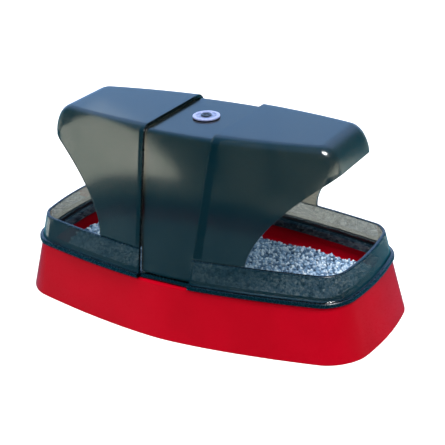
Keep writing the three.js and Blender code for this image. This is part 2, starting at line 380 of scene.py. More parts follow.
@dataclass(frozen=True)
class Finish:
    """What all the finishes share: a name and the drawing of shapes in millimetres."""

    name: str

    def material(self) -> bpy.types.Material:
        """Makes the material, with its nodes.

        Returns:
            The new material.
        """
        made = bpy.data.materials.new(self.name)
        made.use_nodes = True
        tree = made.node_tree
        tree.nodes.clear()
        place = add(tree, "ShaderNodeTexCoord").outputs["Object"]
        in_mm = add(tree, "ShaderNodeMapping", links={"Vector": place})
        in_mm.inputs["Scale"].default_value = (1 / MM,) * 3
        surface = self.surface(tree, in_mm.outputs["Vector"])
        add(tree, "ShaderNodeOutputMaterial", links={"Surface": surface})
        return made

    def surface(self, tree: Tree, place: Socket) -> Socket:
        """Builds the shader.

        Args:
            tree: The material's node tree.
            place: Where a point is on the piece, in millimetres.

        Returns:
            The shader's output.
        """
        raise NotImplementedError


def grain(tree: Tree, place: Socket, pitch: float, detail: float = 2) -> Socket:
    """Returns a soft noise from 0 to 1 whose lumps are pitch millimetres apart."""
    noise = add(tree, "ShaderNodeTexNoise", links={"Vector": place}, Scale=1 / pitch, Detail=detail)
    return noise.outputs["Fac"]


def spread(tree: Tree, value: Socket, low: float, high: float) -> Socket:
    """Returns a noise stretched from its usual 0.35 to 0.65 over low to high."""
    span = {"From_Min": 0.35, "From_Max": 0.65, "To_Min": low, "To_Max": high}
    return add(tree, "ShaderNodeMapRange", links={"Value": value}, **span).outputs["Result"]


def blended(tree: Tree, share: Socket, low: Colour, high: Colour) -> Socket:
    """Returns a colour between two, by a share from 0 to 1.

    Args:
        tree: The node tree.
        share: Where between the two.
        low: The colour at 0.
        high: The colour at 1.

    Returns:
        The colour output.
    """
    node = add(tree, "ShaderNodeMix", data_type="RGBA", links={0: share})
    node.inputs[6].default_value, node.inputs[7].default_value = low, high
    return node.outputs[2]


@dataclass(frozen=True)
class GlossRed(Finish):
    """Red high-impact polystyrene, injection moulded in a polished tool.

    It gives the eye a deep, even red with a soft shine that breaks up a little over flow marks.
    """

    base: str = "910114"
    deep: str = "860110"
    sheen: str = "ff7a86"  # the pigment warms what little the satin face mirrors
    ior: float = 1.59  # polystyrene
    shine: float = 0.06
    roughness: tuple[float, float] = (0.26, 0.36)
    flow_pitch: float = 34.0  # flow marks from the gate, tens of millimetres long
    orange_peel: float = 2.4  # ripple of the polished tool
    dust_pitch: float = 0.5  # handling marks, drawn coarser than they are so that they show

    def surface(self, tree: Tree, place: Socket) -> Socket:
        """Builds a glossy plastic whose colour and shine vary with the flow marks.

        Args:
            tree: The material's node tree.
            place: Where a point is on the piece, in millimetres.

        Returns:
            The shader's output.
        """
        flow = spread(tree, grain(tree, place, self.flow_pitch), 0, 1)
        colour = blended(tree, flow, linear(self.base), linear(self.deep))
        rough = spread(tree, grain(tree, place, self.dust_pitch, 4), *self.roughness)
        ripple = grain(tree, place, self.orange_peel)
        bump = add(tree, "ShaderNodeBump", links={"Height": ripple}, Strength=0.05, Distance=0.0002)
        shader = add(
            tree,
            "ShaderNodeBsdfPrincipled",
            links={"Base Color": colour, "Roughness": rough, "Normal": bump.outputs["Normal"]},
            IOR=self.ior,
            Specular_IOR_Level=self.shine,
            Specular_Tint=linear(self.sheen),
        )
        return shader.outputs["BSDF"]


@dataclass(frozen=True)
class SmokedClear(Finish):
    """Smoke-tinted SAN (styrene acrylonitrile), injection moulded, lightly textured outside.

    It gives the eye a see-through dark teal grey whose shine is slightly hazy, so that what lies
    far behind it blurs, and what lies close behind it stays sharp.
    """

    tint: str = "5d5d54"  # what one wall lets through
    deep_tint: str = "54554c"  # the same where the melt was thicker
    lamp_tint: str = "a9b0b2"  # at each of a wall's two faces
    ior: float = 1.57  # SAN
    shine: float = 0.5
    roughness: tuple[float, float] = (0.02, 0.05)
    flow_pitch: float = 26.0  # flow marks in the tint
    peel_pitch: float = 1.8  # ripple of the moulded face
    peel: float = 0.012
    haze_pitch: float = 0.45  # tool texture, drawn coarser than its 0.1 mm so that it shows

    def surface(self, tree: Tree, place: Socket) -> Socket:
        """Builds tinted clear plastic that lets lamps through, so that what is under it is lit.

        Args:
            tree: The material's node tree.
            place: Where a point is on the piece, in millimetres.

        Returns:
            The shader's output.
        """
        flow = spread(tree, grain(tree, place, self.flow_pitch), 0, 1)
        colour = blended(tree, flow, linear(self.tint), linear(self.deep_tint))
        rough = spread(tree, grain(tree, place, self.haze_pitch, 3), *self.roughness)
        ripple = grain(tree, place, self.peel_pitch)
        bump = add(tree, "ShaderNodeBump", links={"Height": ripple}, Strength=self.peel, Distance=0.0002)
        clear = add(
            tree,
            "ShaderNodeBsdfPrincipled",
            links={"Base Color": colour, "Roughness": rough, "Normal": bump.outputs["Normal"]},
            IOR=self.ior,
            Specular_IOR_Level=self.shine,
            Transmission_Weight=1.0,
        )
        stand_in = add(tree, "ShaderNodeBsdfTransparent", Color=linear(self.lamp_tint))
        path = add(tree, "ShaderNodeLightPath")
        sides = {
            0: path.outputs["Is Shadow Ray"],
            1: clear.outputs["BSDF"],
            2: stand_in.outputs["BSDF"],
        }
        return add(tree, "ShaderNodeMixShader", links=sides).outputs["Shader"]


@dataclass(frozen=True)
class SatinBadge(Finish):
    """Pale lavender ABS, moulded with a satin face, handled until it is faintly marked."""

    base: str = "8992ba"
    worn: str = "737ca3"
    ior: float = 1.53  # ABS
    roughness: tuple[float, float] = (0.32, 0.5)
    mark_pitch: float = 0.9  # scuffs, drawn as wide as they need to be to show

    def surface(self, tree: Tree, place: Socket) -> Socket:
        """Builds a satin plastic with faint scuffs.

        Args:
            tree: The material's node tree.
            place: Where a point is on the piece, in millimetres.

        Returns:
            The shader's output.
        """
        marks = spread(tree, grain(tree, place, self.mark_pitch, 3), 0, 1)
        colour = blended(tree, marks, linear(self.base), linear(self.worn))
        rough = spread(tree, grain(tree, place, self.mark_pitch, 3), *self.roughness)
        bump = add(tree, "ShaderNodeBump", links={"Height": marks}, Strength=0.08, Distance=0.0001)
        shader = add(
            tree,
            "ShaderNodeBsdfPrincipled",
            links={"Base Color": colour, "Roughness": rough, "Normal": bump.outputs["Normal"]},
            IOR=self.ior,
        )
        return shader.outputs["BSDF"]


@dataclass(frozen=True)
class DryGranules(Finish):
    """Crushed mineral litter, dyed blue and dusty: dull grains, each its own shade of blue grey."""

    pale: str = "d3e0ec"
    middle: str = "7e9dbd"
    dark: str = "294562"
    middle_at: float = 0.45  # the shade that the middle colour belongs to
    ior: float = 1.5
    roughness: float = 0.9
    pit_pitch: float = 0.35  # pits in each grain

    def surface(self, tree: Tree, place: Socket) -> Socket:
        """Builds dull stone whose colour comes from each grain's own shade.

        Args:
            tree: The material's node tree.
            place: Where a point is on the piece, in millimetres.

        Returns:
            The shader's output.
        """
        shade = add(tree, "ShaderNodeAttribute", attribute_name=LitterBed.SHADE)
        ramp = add(tree, "ShaderNodeValToRGB", links={"Fac": shade.outputs["Fac"]})
        stops = ramp.color_ramp.elements
        stops[0].color, stops[1].color = linear(self.dark), linear(self.pale)
        stops.new(self.middle_at).color = linear(self.middle)
        pits = grain(tree, place, self.pit_pitch, 2)
        bump = add(tree, "ShaderNodeBump", links={"Height": pits}, Strength=0.5, Distance=0.0002)
        shader = add(
            tree,
            "ShaderNodeBsdfPrincipled",
            links={"Base Color": ramp.outputs["Color"], "Normal": bump.outputs["Normal"]},
            IOR=self.ior,
            Roughness=self.roughness,
        )
        return shader.outputs["BSDF"]


def dressed(
    piece: bpy.types.Object, finishes: Sequence[bpy.types.Material], body: str, node: str
) -> bpy.types.Object:
    """Gives a piece its finishes and its place in the frame.

    Args:
        piece: The piece, in place.
        finishes: Its materials, by the material number of its faces.
        body: The CAD body that it moves with.
        node: The CAD node that it stands for.

    Returns:
        The same piece.
    """
    slots = piece.data.materials
    for number, finish in enumerate(finishes):
        if number < len(slots):
            slots[number] = finish
        else:
            slots.append(finish)
    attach(piece, body)
    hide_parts(node)
    log.info("%s: %d faces, rides on %s", piece.name, len(piece.data.polygons), body)
    return piece


# ------------------------------------------------------------------------------ tray and litter


@dataclass(frozen=True)
class Tray:
    """The red moulding: a flared skirt, open below, that carries a stepped pan."""

    plan: Plan
    height: float
    skirt_wall: float = 1.8
    edge: float = 0.9
    mouth: float = 3.6
    mouth_depth: float = 4.5
    pan_wall: float = 1.8
    step_inset: float = 6.2
    step_height: float = 15.5
    floor_inset: float = 12.0
    floor_top: float = 5.5
    floor_thickness: float = 2.0
    floor_run: float = 4.0  # flat floor between its corner and the cap that closes it

    def section(self) -> Section:
        """Returns the wall's section, from the pan's underside round the skirt to its floor.

        Returns:
            Points as (inset, height, share of the skirt's flare).
        """
        web = self.height - self.skirt_wall
        under = self.floor_top - self.floor_thickness
        shelf = self.step_height - self.pan_wall
        inner, step = self.mouth + self.pan_wall, self.step_inset + self.pan_wall
        floor = self.floor_inset + self.pan_wall
        corners = [  # inset, height, corner radius, whether it follows the flare
            (floor + self.floor_run, under, 0, 0),
            (self.floor_inset, under, 1.5, 0),
            (self.step_inset, shelf, 1.0, 0),
            (self.mouth, shelf, 1.0, 0),
            (self.skirt_wall + GAP, web, 0, 0),
            (self.skirt_wall, web, 0, 0),
            (self.skirt_wall, 0, self.edge / 2, 1),
            (0, 0, self.edge / 2, 1),
            (0, self.height, self.edge, 1),
            (self.mouth, self.height, self.edge / 2, 0),
            (self.mouth, self.height - self.mouth_depth, 0.5, 0),
            (inner, self.step_height, 0.8, 0),
            (step, self.step_height, 1.0, 0),
            (floor, self.floor_top, 1.5, 0),
            (floor + self.floor_run, self.floor_top, 0, 0),
        ]
        curved = rounded(corners, loop=False)
        return [(a, z, flare * (1 - z / self.height)) for a, z, flare in curved]

    def build(self) -> bpy.types.Object:
        """Builds the tray."""
        return evened(as_object("tray_moulding", *loft(self.plan.rings(self.section()))))


@dataclass(frozen=True)
class LitterBed:
    """Loose granules: an uneven bed, covered in grains that are solids of their own."""

    SHADE = "grain_shade"

    plan: Plan
    tray: Tray
    level: float
    slack: float = 0.5
    grain_size: tuple[float, float] = (0.55, 1.05)  # half widths
    lumpiness: float = 0.22  # how far a grain's corners stray, as a share of its size
    buried: tuple[float, float] = (-0.6, 0.5)  # how far grains lie below and above the bed
    spacing: float = 1.35
    heap: float = 1.7
    long_wave: tuple[float, float] = (13.0, 11.0)  # wave lengths along X and Y, over two pi
    short_wave: tuple[float, float] = (6.1, 7.3)
    piled: tuple[float, float] = (30.0, 70.0)  # where along X the litter starts to rise, and stops
    sag: float = 0.6  # how far the bed lies below its level on the whole
    bed_rings: int = 18
    bed_depth: float = 0.5  # how far the bed lies below the middles of its grains
    bed_shade: float = 0.3
    least_ring: float = 0.03  # the innermost ring's size, as a share of the outermost
    seed: int = 7

    def wall_inset(self) -> float:
        """Returns how far inside the tray's top edge the bed ends."""
        return self.tray.step_inset + self.tray.pan_wall + self.slack

    def height_at(self, x: np.ndarray, y: np.ndarray) -> np.ndarray:
        """Returns the bed's height, pushed about into low heaps by the animal.

        Args:
            x: Places along X.
            y: Places along Y.

        Returns:
            The height at each place.
        """
        long_x, long_y = self.long_wave
        short_x, short_y = self.short_wave
        waves = np.sin(x / long_x + 0.8) * np.cos(y / long_y - 0.4) + 0.6 * np.sin(x / short_x - y / short_y)
        start, stop = self.piled
        ends = np.clip((np.abs(x) - start) / (stop - start), 0, 1)
        return self.level - self.sag + self.heap * (0.45 * waves + 0.9 * ends)

    def bed(self) -> tuple[np.ndarray, Faces, np.ndarray]:
        """Returns the bed's points and faces, and a shade for each point.

        Returns:
            The points, the faces and the shades.
        """
        floor = self.tray.floor_inset + self.tray.pan_wall + self.slack
        wall = self.wall_inset()
        low = [(floor, self.tray.floor_top + self.slack, 0), (wall, self.tray.step_height, 0)]
        rings = self.plan.rings(low)
        edge = rings[-1]
        for share in np.linspace(1, self.least_ring, self.bed_rings):
            ring = edge * (share, share, 0)
            ring[:, 2] = self.height_at(ring[:, 0], ring[:, 1]) - self.bed_depth
            rings.append(ring)
        points, faces = loft(rings)
        return points, faces, np.full(len(points), self.bed_shade)

    def grains(self) -> tuple[np.ndarray, Faces, np.ndarray]:
        """Returns all the grains' points and faces, and a shade for each point.

        Returns:
            The points, the faces and the shades.
        """
        rng = np.random.default_rng(self.seed)
        edge = drawn_in(self.plan.shoulder(), self.wall_inset(), self.wall_inset())
        low, high = edge.min(0), edge.max(0)
        xs, ys = (np.arange(low[k], high[k], self.spacing) for k in (0, 1))
        spots = np.array(np.meshgrid(xs, ys)).reshape(2, -1).T
        spots = spots + rng.uniform(-0.5, 0.5, spots.shape) * self.spacing
        spots = spots[inside(spots, edge)]
        ball = bmesh.new()
        bmesh.ops.create_icosphere(ball, subdivisions=1, radius=1)
        shell = np.array([v.co for v in ball.verts])
        corners = np.array([[v.index for v in f.verts] for f in ball.faces])
        ball.free()
        count = len(spots)
        sizes = rng.uniform(*self.grain_size, (count, 1, 3))
        lumps = 1 + rng.uniform(-self.lumpiness, self.lumpiness, (count, len(shell), 1))
        turns = np.linalg.qr(rng.normal(size=(count, 3, 3)))[0]
        bodies = np.einsum("nij,nkj->nki", turns, shell * lumps * sizes)
        heights = self.height_at(spots[:, 0], spots[:, 1]) + rng.uniform(*self.buried, count)
        bodies += np.column_stack([spots, heights])[:, None, :]
        starts = np.arange(count)[:, None, None] * len(shell)
        faces = (corners[None] + starts).reshape(-1, 3)
        shades = np.repeat(np.clip(rng.beta(1.5, 1.3, count), 0, 1), len(shell))
        return bodies.reshape(-1, 3), [tuple(f) for f in faces.tolist()], shades

    def build(self) -> bpy.types.Object:
        """Builds the bed and its grains as one piece.

        Returns:
            The litter's object.
        """
        bed, bed_faces, bed_shades = self.bed()
        grains, grain_faces, grain_shades = self.grains()
        shifted = [tuple(k + len(bed) for k in face) for face in grain_faces]
        made = as_object("litter_granules", np.vstack([bed, grains]), bed_faces + shifted)
        shade = made.data.attributes.new(self.SHADE, "FLOAT", "POINT")
        shade.data.foreach_set("value", np.concatenate([bed_shades, grain_shades]).astype(np.float32))
        flat = [len(polygon.vertices) != 3 for polygon in made.data.polygons]
        made.data.polygons.foreach_set("use_smooth", flat)
        return made


def inside(spots: np.ndarray, edge: np.ndarray) -> np.ndarray:
    """Tells which spots lie inside a closed outline.

    Args:
        spots: Points to test, one row each.
        edge: The outline.

    Returns:
        True for each spot that is inside.
    """
    start, along = edge[None], (np.roll(edge, -1, 0) - edge)[None]
    x, y = spots[:, None, 0], spots[:, None, 1]
    rises = along[..., 1] != 0
    missed = np.full(x.shape[:1] + rises.shape[1:], -1.0)
    share = np.divide(y - start[..., 1], along[..., 1], out=missed, where=rises)
    crossed = (share >= 0) & (share < 1) & (start[..., 0] + share * along[..., 0] > x)
    return crossed.sum(1) % 2 == 1


# ------------------------------------------------------------------------------ smoked cover


@dataclass(frozen=True)
class Cover:
    """The faces that the collar, the band and the hood halves are cut from."""

    plan: Plan
    seat: float
    collar_top: float
    top: float
    foot: float = 37.6
    reach: float = 72.5
    lean: float = 3.1
    wall: float = 1.5
    flange: float = 2.1
    crown: float = 25.8
    crown_taper: float = 10.0
    taper_reach: float = 75.0
    edge_round: float = 4.0
    lip_top: float = 63.5
    lip_foot: float = 78.5
    lip_power: float = 2.0
    corner: float = 5.0
    flare_power: float = 1.66
    band_top: float = 17.0
    band_foot: float = 11.3

    def collar_at(self, x: float) -> float:
        """Returns the half width of the collar's top edge at x.

        Args:
            x: The place along X.

        Returns:
            The half width.
        """
        reach = self.plan.half_length - self.plan.flare_end - self.lean - self.plan.end_bow
        widest = self.plan.half_width - self.plan.flare_side - self.lean
        return widest - self.plan.side_bow * (abs(x) / reach) ** self.plan.bow_power

    def wall_at(self, x: float, z: float) -> float:
        """Returns the half width of the cover's face at x and a height.

        Args:
            x: The place along X.
            z: The height.

        Returns:
            The half width.
        """
        if z < self.collar_top:
            slope = self.lean / (self.collar_top - self.seat)
            return self.collar_at(x) + slope * (self.collar_top - z)
        roof = self.crown - self.crown_taper * (x / self.taper_reach) ** 2
        t = (z - self.collar_top) / (self.top - self.collar_top)
        return mix(self.collar_at(x), roof, t)

    def band_edge(self, z: float) -> float:
        """Returns half the width that the hood halves leave open over the band."""
        return mix(self.band_foot, self.band_top, z / self.top)

    def drawn(self, z: float, depth: float) -> float:
        """Returns how far a skin at a depth lies inside the face, with the round roof edge.

        Args:
            z: The height.
            depth: How far inside the face the skin lies on the flats.

        Returns:
            The inset.
        """
        up = max(0.0, z - (self.top - self.edge_round))
        radius = self.edge_round - depth
        return self.edge_round - math.sqrt(max(0.0, radius**2 - up**2))

    def reach_at(self, z: float) -> float:
        """Returns how far the hood's end lip reaches along X at a height.

        Args:
            z: The height.

        Returns:
            The reach from the middle.
        """
        rise = min(1.0, max(0.0, (z - self.lip_foot) / (self.top - self.lip_foot)))
        fall = (1 - rise**self.lip_power) ** (1 / self.lip_power)
        return mix(self.lip_top, self.reach, fall)

    def swept_edge(self, z: float) -> float:
        """Returns where the hood's swept side edge is along X at a height.

        Args:
            z: The height.

        Returns:
            The place along X.
        """
        low = self.collar_top + GAP
        t = (z - low) / (self.lip_foot - low)
        return mix(self.foot, self.reach, max(0.0, t) ** self.flare_power)

    def round_heights(self, depth: float, count: int) -> list[float]:
        """Returns the heights of the rows that round the roof's edge.

        Args:
            depth: How far inside the face the skin lies.
            count: How many rows there are.

        Returns:
            The heights, lowest first.
        """
        start = self.top - self.edge_round
        angles = np.linspace(0, math.pi / 2, count + 1)[1:]
        return [start + (self.edge_round - depth) * math.sin(a) for a in angles]


@dataclass(frozen=True)
class Collar:
    """A leaning wall on a flange, with a plug below and a notch for each foot of the band."""

    cover: Cover
    lip: float = 1.2
    ledge: float = 5.2
    plug_wall: float = 1.3
    plug_depth: float = 3.2
    recess: float = 1.8
    rim_margin: float = 0.5  # how far past an edge a face still counts as lying on that edge

    def section(self) -> Section:
        """Returns the section, round the flange's lip, the wall, the inner ledge and the plug.

        Returns:
            Points as (inset, height, corner radius, 0).
        """
        cover = self.cover
        shelf = cover.seat + cover.flange
        wall_foot = cover.lean * cover.flange / (cover.collar_top - cover.seat)
        plug = self.ledge - self.plug_wall
        return [
            (-self.lip, cover.seat, 0.5, 0),
            (-self.lip, shelf, 1.5, 0),
            (wall_foot, shelf, 0.5, 0),
            (cover.lean, cover.collar_top, 0.5, 0),
            (cover.lean + cover.wall, cover.collar_top, 0.5, 0),
            (wall_foot + cover.wall, shelf, 0.6, 0),
            (self.ledge, shelf, 0.4, 0),
            (self.ledge, cover.seat - self.plug_depth, 0.3, 0),
            (plug, cover.seat - self.plug_depth, 0.3, 0),
            (plug, cover.seat, 0.3, 0),
        ]

    def notch(
        self, low: float, high: float, near: float, far: float, half: Callable[[float], float]
    ) -> bpy.types.Object:
        """Makes a cutter with one block on each side of the collar.

        Args:
            low: Its lowest height.
            high: Its highest height.
            near: Where it starts along Y, away from the middle.
            far: Where it ends.
            half: Its half width along X at a height.

        Returns:
            The cutter.
        """
        points, faces = [], []
        for side in (1, -1):
            ends = (near, far) if side > 0 else (-far, -near)
            rings = [
                np.array([(sx * half(z), y, z) for sx, y in zip((-1, 1, 1, -1), np.repeat(ends, 2))])
                for z in (low, high)
            ]
            block, quads = loft(rings)
            start = sum(map(len, points))
            points.append(block)
            faces += [tuple(k + start for k in quad) for quad in quads]
        return as_object("cutter", np.vstack(points), faces)

    def paint_rim_shade(self, mesh: bpy.types.Mesh) -> None:
        """Gives the top edge, the flange and the notches' cut faces the second slot's darker tint, which is
        painted shade: it stands in for the dark lines along these edges.

        Args:
            mesh: The collar's mesh.
        """
        shelf = (self.cover.seat + self.cover.flange) * MM
        top = (self.cover.collar_top - self.rim_margin) * MM
        edge = self.cover.plan.shoulder()
        for polygon in mesh.polygons:
            x, y, z = polygon.center
            outside = self.cover.seat * MM < z < shelf and not inside(np.array([[x, y]]) / MM, edge)[0]
            cut = abs(x) / MM < self.cover.band_edge(z / MM) + self.rim_margin
            if z > top or outside or cut:
                polygon.material_index = PAINTED_SHADE_SLOT

    def build(self) -> bpy.types.Object:
        """Builds the collar and cuts its notches.

        Returns:
            The collar's object.
        """
        cover = self.cover
        rings = cover.plan.rings(rounded(self.section(), loop=True, steps=4))
        made = as_object("smoked_collar", *loft(rings, loop=True))
        shelf = cover.seat + cover.flange
        foot = cover.collar_at(0) + cover.lean
        beyond, over = 20, 1  # how far the cutters pass the wall along Y, and its edges along Z
        far = foot + beyond
        inner = foot - beyond
        without(made, self.notch(shelf, cover.collar_top + 2 * over, inner, far, cover.band_edge))
        low, high = cover.seat - over, shelf + over
        without(made, self.notch(low, high, foot - self.recess, far, cover.band_edge))
        made.data.polygons.foreach_set("use_smooth", [True] * len(made.data.polygons))
        made.data.set_sharp_from_angle(angle=SHARP)
        self.paint_rim_shade(made.data)
        return evened(made, keep_sharp=True)


@dataclass(frozen=True)
class Shell:
    """Turns an open skin into a moulded wall with eased edges."""

    wall: float
    ease: float = 0.35
    joined: float = 0.02  # points closer than this are one
    eased_from: float = math.radians(50)  # edges that turn by less stay as they are

    def build(self, name: str, points: np.ndarray, faces: Faces) -> bpy.types.Object:
        """Thickens a skin inwards.

        Args:
            name: The new object's name.
            points: The outer skin, in millimetres.
            faces: Its faces, anticlockwise from outside.

        Returns:
            The closed wall.
        """
        made = as_object(name, points, faces)
        tidy = bmesh.new()
        tidy.from_mesh(made.data)
        bmesh.ops.remove_doubles(tidy, verts=tidy.verts, dist=self.joined * MM)
        tidy.to_mesh(made.data)
        tidy.free()
        made.data.materials.append(None)
        made.data.materials.append(None)
        wall = {"thickness": self.wall * MM, "offset": -1, "use_even_offset": True}
        # The wall's cut edges take the second slot, whose near-black tint is painted shade along the edges.
        modifier(made, "SOLIDIFY", **wall, material_offset_rim=PAINTED_SHADE_SLOT)
        edges = {"limit_method": "ANGLE", "angle_limit": self.eased_from}
        modifier(made, "BEVEL", width=self.ease * MM, segments=3, **edges)
        return evened(made)


@dataclass(frozen=True)
class CentreBand:
    """The arch over the middle, whose feet stand in the collar's notches."""

    cover: Cover
    recess: float = 1.8
    lap: float = 3.2
    fit: float = 0.08  # side play of a foot in its notch
    columns: int = 10
    lap_columns: int = 2
    foot_rows: int = 5
    rows: int = 18
    round_rows: int = 7

    def rows_up(self) -> list[float]:
        """Returns the heights of the rows up one leg, to the flat of the roof.

        Returns:
            The heights, lowest first.
        """
        cover = self.cover
        low = cover.seat + cover.flange + GAP
        lap_from = cover.collar_top + GAP
        leg = np.linspace(lap_from, cover.top - cover.edge_round, self.rows)
        foot = np.linspace(low, cover.collar_top, self.foot_rows)
        return [*foot, *leg, *cover.round_heights(self.recess, self.round_rows)]

    def across(self, z: float) -> np.ndarray:
        """Returns where the columns stand along X at a height: laps outside, face inside.

        Args:
            z: The height.

        Returns:
            The places, from -X to +X.
        """
        edge = self.cover.band_edge(z)
        face = np.linspace(self.fit - edge, edge - self.fit, self.columns + 1)
        lap = edge + self.lap
        return np.array([-lap, -edge - GAP, *face, edge + GAP, lap])

    def skin(self) -> tuple[np.ndarray, Faces]:
        """Returns the band's outer skin.

        Returns:
            The points and the faces.
        """
        heights = self.rows_up()
        leg = [
            [(x, self.cover.drawn(z, self.recess) - self.cover.wall_at(x, z), z) for x in self.across(z)]
            for z in heights
        ]
        roof_rows = np.linspace(-1, 1, self.rows)[1:-1]
        top = heights[-1]
        roof = [[(x, -y * share, top) for x, y, _ in leg[-1]] for share in roof_rows]
        back = [[(x, -y, z) for x, y, z in row] for row in reversed(leg)]
        rows = np.array([*leg, *roof, *back])
        count = rows.shape[1]
        bare = (self.lap_columns, count - 1 - self.lap_columns)
        lapped = [row[:, 2].min() > self.cover.collar_top for row in rows]
        faces: Faces = []
        for r in range(len(rows) - 1):
            full = lapped[r] and lapped[r + 1]
            first, last = (0, count - 1) if full else bare
            for c in range(first, last):
                a = r * count + c
                faces.append((a, a + 1, a + count + 1, a + count))
        return rows.reshape(-1, 3), faces

    def build(self) -> bpy.types.Object:
        """Builds the band."""
        return Shell(self.cover.wall).build("smoked_centre_band", *self.skin())


class End(Enum):
    """Which end of the tray a hood half covers."""

    LEFT = -1
    RIGHT = 1


@dataclass(frozen=True)
class HoodHalf:
    """One half of the hood: a shell over one end of the tray, with a lip and swept edges."""

    cover: Cover
    end: End
    wall_columns: int = 26
    bend_columns: int = 9
    lip_columns: int = 14
    rows: int = 26
    shoulder_rows: int = 8
    round_rows: int = 8
    least_bend: float = 0.4  # the upright corner's radius at the roof

    def bend_radius(self, z: float) -> float:
        """Returns the radius of the upright corner, which dies out at the flat of the roof."""
        return max(self.least_bend, self.cover.corner - self.cover.drawn(z, 0))

    def side_row(self, z: float) -> np.ndarray:
        """Returns a row of (x, y) points along one side and round its corner, at a height.

        Args:
            z: The height.

        Returns:
            The points, from the middle outwards.
        """
        cover = self.cover
        reach, draw, radius = cover.reach_at(z), cover.drawn(z, 0), self.bend_radius(z)
        edge = cover.band_edge(z) + GAP / 2
        xs = np.linspace(edge, reach - radius, self.wall_columns)
        straight = [(x, cover.wall_at(x, z) - draw) for x in xs]
        corner = np.array((reach, cover.wall_at(reach, z) - draw))
        stop = corner - (0, radius)
        turn = [
            bend(np.array(straight[-1]), corner, stop, k / self.bend_columns)
            for k in range(1, self.bend_columns + 1)
        ]
        return np.array([*straight, *turn])

    def cut_row(self, z: float) -> np.ndarray:
        """Returns the same row below the lip, where the swept edge cuts it short.

        Args:
            z: The height.

        Returns:
            The points, from the middle outwards.
        """
        whole = self.side_row(z)
        share = self.side_row(self.cover.lip_foot)
        share = (share[:, 0] - share[0, 0]) / (share[-1, 0] - share[0, 0])
        stop = min(self.cover.swept_edge(z), whole[-1, 0])
        xs = whole[0, 0] + (stop - whole[0, 0]) * share
        return np.column_stack([xs, np.interp(xs, whole[:, 0], whole[:, 1])])

    def skin(self) -> tuple[np.ndarray, Faces]:
        """Returns the half's outer skin, turned about Z for the -X end.

        Returns:
            The points and the faces.
        """
        cover = self.cover
        low = cover.collar_top + GAP
        swept = [mix(low, cover.lip_foot, t) for t in np.linspace(0, 1, self.rows)[:-1]]
        shoulder = np.linspace(cover.lip_foot, cover.top - cover.edge_round, self.shoulder_rows)
        upper = [*shoulder, *cover.round_heights(0, self.round_rows)]
        points: list[tuple[float, float, float]] = []
        fronts: list[list[int]] = []
        backs: list[list[int]] = []
        lips: list[list[int]] = []

        def put(x: float, y: float, z: float) -> int:
            """Adds a point and returns its number."""
            points.append((x, y, z))
            return len(points) - 1

        for z in [*swept, *upper]:
            row = self.cut_row(z) if z < cover.lip_foot else self.side_row(z)
            fronts.append([put(x, -y, z) for x, y in row])
            backs.append([put(x, y, z) for x, y in row])
            if z >= cover.lip_foot:
                x, y = row[-1]
                across = np.linspace(-y, y, self.lip_columns + 2)[1:-1]
                lips.append([fronts[-1][-1], *(put(x, v, z) for v in across), backs[-1][-1]])
        faces: Faces = []
        for run, flip in ((fronts, False), (backs, True), (lips, False)):
            for lower, higher in zip(run, run[1:]):
                for k in range(len(lower) - 1):
                    quad = (lower[k], lower[k + 1], higher[k + 1], higher[k])
                    faces.append(quad[::-1] if flip else quad)
        faces += self.roof(put, points, fronts[-1], backs[-1], lips[-1])
        made = np.array(points)
        made[:, :2] *= self.end.value
        return made, faces

    def roof(
        self,
        put: Callable[[float, float, float], int],
        points: list[tuple[float, float, float]],
        front: list[int],
        back: list[int],
        lip: list[int],
    ) -> Faces:
        """Fills the flat of the roof.

        Args:
            put: Adds a point and returns its number.
            points: All the points so far.
            front: The top row along the front.
            back: The top row along the back.
            lip: The top row along the lip, from the front to the back.

        Returns:
            The faces.
        """
        shares = np.linspace(0, 1, self.lip_columns + 2)[1:-1]
        z = points[front[0]][2]
        rows = []
        for k in range(self.wall_columns):
            x, y, _ = points[back[k]]
            rows.append([front[k], *(put(x, y * (2 * s - 1), z) for s in shares), back[k]])
        faces: Faces = []
        for near, far in zip(rows, rows[1:]):
            for k in range(len(near) - 1):
                faces.append((near[k], far[k], far[k + 1], near[k + 1]))
        last = rows[-1]
        for k in range(1, len(last) - 2):
            faces.append((last[k], lip[k], lip[k + 1], last[k + 1]))
        start = self.wall_columns - 1
        faces.append((*front[start:], lip[1], last[1]))
        faces.append((*reversed(back[start:]), last[-2], lip[-2]))
        return faces

    def build(self) -> bpy.types.Object:
        """Builds the half."""
        return Shell(self.cover.wall).build(f"smoked_{self.end.name.lower()}_hood", *self.skin())


# ------------------------------------------------------------------------------ badge


@dataclass(frozen=True)
class Turned:
    """A solid of revolution about an upright axis."""

    name: str
    section: tuple[tuple[float, float, float, float], ...]
    loop: bool
    sides: int = 72

    def build(self) -> bpy.types.Object:
        """Builds it from its section of (radius, height, corner radius, 0) points.

        Returns:
            The solid's object.
        """
        angles = np.linspace(0, 2 * math.pi, self.sides, endpoint=False)
        circle = np.column_stack([np.cos(angles), np.sin(angles)])
        rings = [
            np.column_stack([circle * radius, np.full(self.sides, z)])
            for radius, z, _ in rounded(self.section, self.loop, steps=4)
        ]
        made = as_object(self.name, *loft(rings, loop=self.loop))
        return evened(made)


